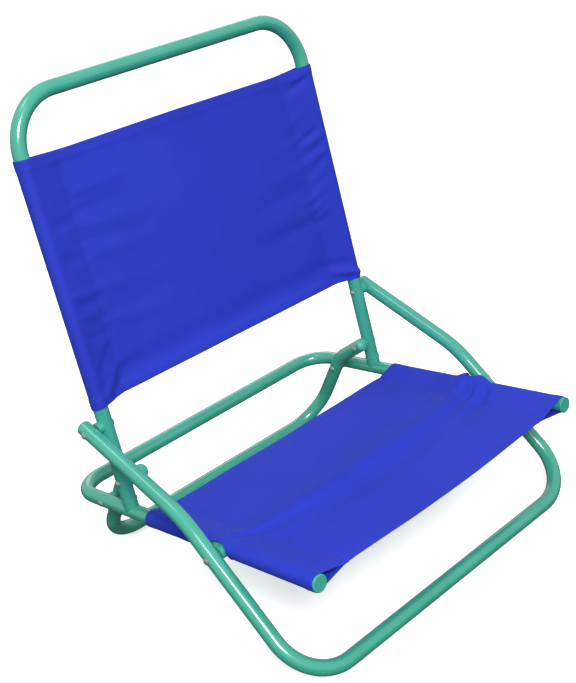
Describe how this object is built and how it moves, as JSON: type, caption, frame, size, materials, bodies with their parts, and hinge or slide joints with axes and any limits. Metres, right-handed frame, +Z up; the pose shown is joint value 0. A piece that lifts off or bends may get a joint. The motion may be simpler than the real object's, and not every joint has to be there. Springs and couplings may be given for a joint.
{
  "type": "folding beach chair",
  "caption": "Low folding beach chair: bent steel tube frames pinned as a folding linkage, with fabric slings for the seat and the back.",
  "frame": {"origin": "on the ground, under the middle of the open chair's bounding box", "axes": "+X to the left hand of a person sitting in the chair, +Y to the back, +Z up"},
  "size_m": [0.5314, 0.4664, 0.6336],
  "materials": {
    "frame_paint": "glossy blue-green powder coat on steel tube",
    "plug_plastic": "moulded plastic plugs, spacers and washers in the frame's colour",
    "rivet_metal": "bright domed rivets",
    "sling_cloth": "plain-woven royal blue polyester, sewn sleeves and hems"
  },
  "bodies": {
    "seat": {"seat_frame": "frame_paint", "seat_sling": "sling_cloth", "seat_end_cap_left": "plug_plastic", "seat_end_cap_right": "plug_plastic", "seat_spacer_left": "plug_plastic", "seat_spacer_right": "plug_plastic", "rear_rivet_left": "rivet_metal", "rear_rivet_right": "rivet_metal", "rear_washer_left": "plug_plastic", "rear_washer_right": "plug_plastic"},
    "rear_legs": {"rear_leg_frame": "frame_paint", "link_end_cap_left": "plug_plastic", "link_end_cap_right": "plug_plastic"},
    "back": {"back_frame": "frame_paint", "back_sling": "sling_cloth", "back_foot_plug_left": "plug_plastic", "back_foot_plug_right": "plug_plastic", "arm_spacer_left": "plug_plastic", "arm_spacer_right": "plug_plastic", "arm_rivet_inner_left": "rivet_metal", "arm_rivet_inner_right": "rivet_metal", "link_rivet_left": "rivet_metal", "link_rivet_right": "rivet_metal", "link_washer_left": "plug_plastic", "link_washer_right": "plug_plastic"},
    "front_legs": {"front_leg_frame": "frame_paint", "arm_end_cap_left": "plug_plastic", "arm_end_cap_right": "plug_plastic", "arm_rivet_outer_left": "rivet_metal", "arm_rivet_outer_right": "rivet_metal", "seat_rivet_left": "rivet_metal", "seat_rivet_right": "rivet_metal"}
  },
  "joints": [
    {"name": "back_fold", "type": "hinge", "parent": "rear_legs", "child": "back", "pos_m": [0, 0.10463, 0.15194], "axis": [1, 0, 0], "range_deg": [0, 211.91]},
    {"name": "rear_leg_fold", "type": "hinge", "parent": "seat", "child": "rear_legs", "pos_m": [0, 0.15501, 0.10582], "axis": [-1, 0, 0], "range_deg": [0, 117.49]},
    {"name": "front_leg_fold", "type": "hinge", "parent": "seat", "child": "front_legs", "pos_m": [0, -0.08325, 0.12807], "axis": [-1, 0, 0], "range_deg": [0, 24.47]}
  ],
  "couplings": [
    {"joint": "rear_leg_fold", "follows": "back_fold", "ratio": 0.55439},
    {"joint": "front_leg_fold", "follows": "back_fold", "ratio": 0.11543}
  ]
}
